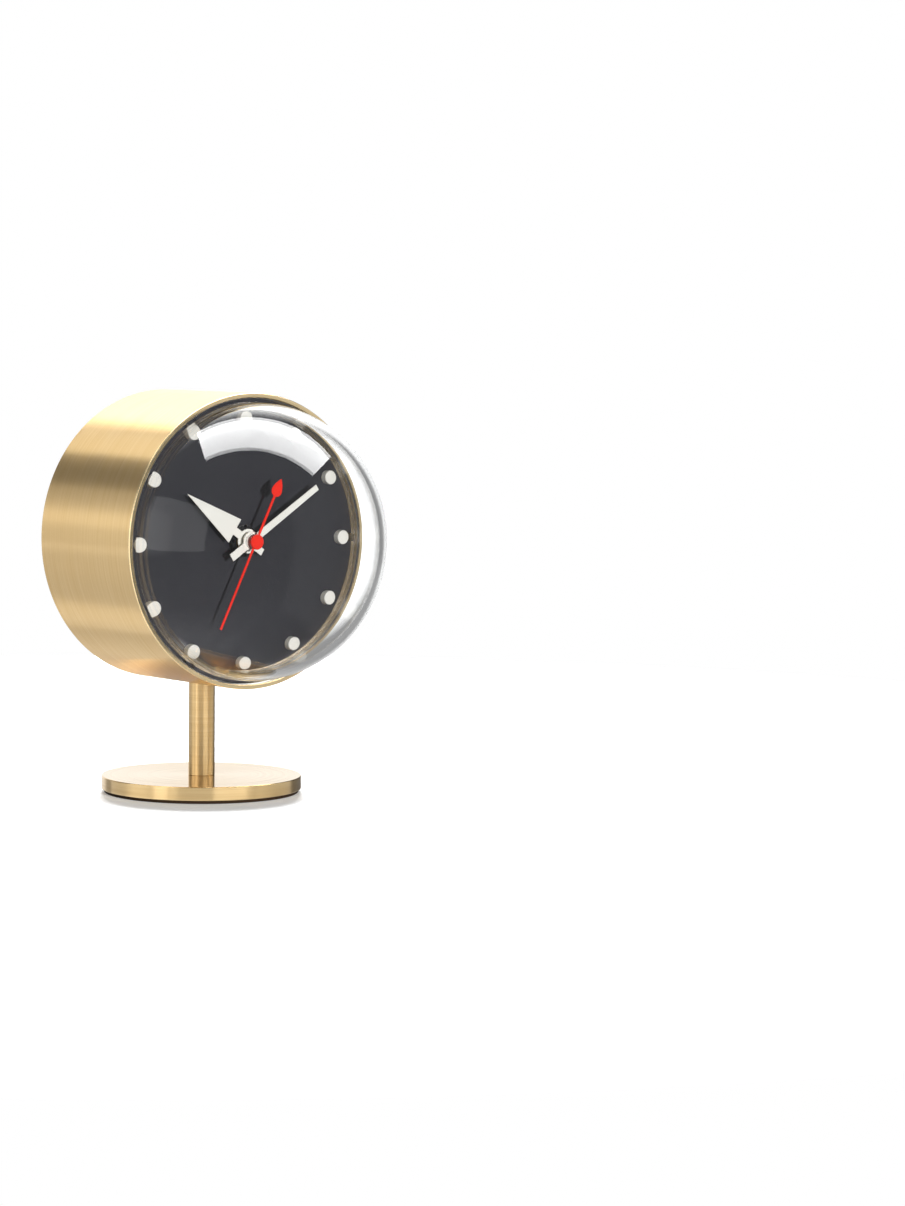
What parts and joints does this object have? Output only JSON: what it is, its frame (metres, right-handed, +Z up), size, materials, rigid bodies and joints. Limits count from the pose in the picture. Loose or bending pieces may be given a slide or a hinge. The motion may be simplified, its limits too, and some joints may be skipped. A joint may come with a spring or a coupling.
{
  "type": "table clock",
  "caption": "Quartz table clock: a short brushed brass drum on a round post and base, with a black dial, pegs for the hours and a deep domed clear lens.",
  "frame": {"origin": "on the post's axis, on the underside of the base pad", "axes": "+Z up; the dial faces -Y; +X is on the right of someone reading the dial"},
  "size_m": [0.112, 0.1184, 0.1543],
  "materials": {
    "brass": "brushed round the axis, lacquered",
    "brass_fitting": "plain turned",
    "pad": "matte",
    "steel": "zinc plated",
    "clear_lens": "polished clear acrylic",
    "black_plastic": "fine texture",
    "soft_black": "matte",
    "dial_black": "satin lacquer",
    "ivory": "satin",
    "hand_ivory": "satin paint",
    "hand_red": "satin paint",
    "white_plastic": "moulded",
    "board_green": "solder mask",
    "copper": "enamelled wire",
    "magnet": "sintered",
    "cell_jacket": "printed sleeve, no print"
  },
  "bodies": {
    "case": {"base_pad": "pad", "base_disc": "brass", "base_screw": "steel", "post": "brass", "case_screw": "steel", "saddle_washer": "steel", "drum_case": "brass", "front_lens": "clear_lens", "dial_plate": "dial_black", "hour_peg_01": "ivory", "hour_peg_02": "ivory", "hour_peg_03": "ivory", "hour_peg_04": "ivory", "hour_peg_05": "ivory", "hour_peg_06": "ivory", "hour_peg_07": "ivory", "hour_peg_08": "ivory", "hour_peg_09": "ivory", "hour_peg_10": "ivory", "hour_peg_11": "ivory", "hour_peg_12": "ivory", "dial_washer": "soft_black", "fixing_nut": "black_plastic", "movement_front_case": "black_plastic", "movement_rear_case": "black_plastic", "centre_bush": "brass_fitting", "middle_plate": "white_plastic", "circuit_board": "board_green", "control_chip": "black_plastic", "quartz_crystal": "steel", "coil_core": "steel", "coil_bobbin": "white_plastic", "coil_winding": "copper", "stator": "steel", "positive_contact": "steel", "negative_contact": "steel"},
    "seconds": {"second_hand": "hand_red", "second_hand_cap": "hand_red", "seconds_wheel": "white_plastic"},
    "minutes": {"minute_hand": "hand_ivory", "cannon_pinion": "brass_fitting"},
    "hours": {"hour_hand": "hand_ivory", "hour_wheel": "white_plastic"},
    "rotor": {"rotor": "magnet"},
    "intermediate": {"intermediate_wheel": "white_plastic"},
    "third": {"third_wheel": "white_plastic"},
    "centre": {"centre_wheel": "brass_fitting"},
    "minute_wheel": {"minute_wheel": "white_plastic"},
    "knob": {"setting_knob": "white_plastic"},
    "battery": {"battery": "cell_jacket"},
    "cover": {"back_cover": "black_plastic"}
  },
  "joints": [
    {"name": "seconds_spin", "type": "hinge", "parent": "case", "child": "seconds", "pos_m": [0, -0.0346, 0.0983], "axis": [0, 1, 0], "continuous": true},
    {"name": "minutes_spin", "type": "hinge", "parent": "case", "child": "minutes", "pos_m": [0, -0.0317, 0.0983], "axis": [0, 1, 0], "continuous": true},
    {"name": "hours_spin", "type": "hinge", "parent": "case", "child": "hours", "pos_m": [0, -0.0294, 0.0983], "axis": [0, 1, 0], "continuous": true},
    {"name": "rotor_spin", "type": "hinge", "parent": "case", "child": "rotor", "pos_m": [0.00958, -0.0104, 0.10916], "axis": [0, 1, 0], "continuous": true},
    {"name": "intermediate_spin", "type": "hinge", "parent": "case", "child": "intermediate", "pos_m": [0.00643, -0.0124, 0.1037], "axis": [0, 1, 0], "continuous": true},
    {"name": "third_spin", "type": "hinge", "parent": "case", "child": "third", "pos_m": [-0.0054, -0.0153, 0.10765], "axis": [0, 1, 0], "continuous": true},
    {"name": "centre_spin", "type": "hinge", "parent": "case", "child": "centre", "pos_m": [0, -0.0186, 0.0983], "axis": [0, 1, 0], "continuous": true},
    {"name": "minute_wheel_spin", "type": "hinge", "parent": "case", "child": "minute_wheel", "pos_m": [0.00789, -0.0199, 0.10117], "axis": [0, 1, 0], "continuous": true},
    {"name": "knob_spin", "type": "hinge", "parent": "case", "child": "knob", "pos_m": [0.01617, -0.0052, 0.09971], "axis": [0, 1, 0], "continuous": true},
    {"name": "battery_slide", "type": "slide", "parent": "case", "child": "battery", "axis": [0, 1, 0], "range_m": [0, 0.018]},
    {"name": "cover_slide", "type": "slide", "parent": "case", "child": "cover", "axis": [0, 1, 0], "range_m": [0, 0.02]}
  ],
  "couplings": [
    {"joint": "rotor_spin", "follows": "seconds_spin", "ratio": 30},
    {"joint": "intermediate_spin", "follows": "seconds_spin", "ratio": -6},
    {"joint": "third_spin", "follows": "seconds_spin", "ratio": -0.13333},
    {"joint": "centre_spin", "follows": "seconds_spin", "ratio": 0.016667},
    {"joint": "minute_wheel_spin", "follows": "minutes_spin", "ratio": -0.33333},
    {"joint": "hours_spin", "follows": "minutes_spin", "ratio": 0.083333},
    {"joint": "knob_spin", "follows": "minutes_spin", "ratio": 1}
  ]
}
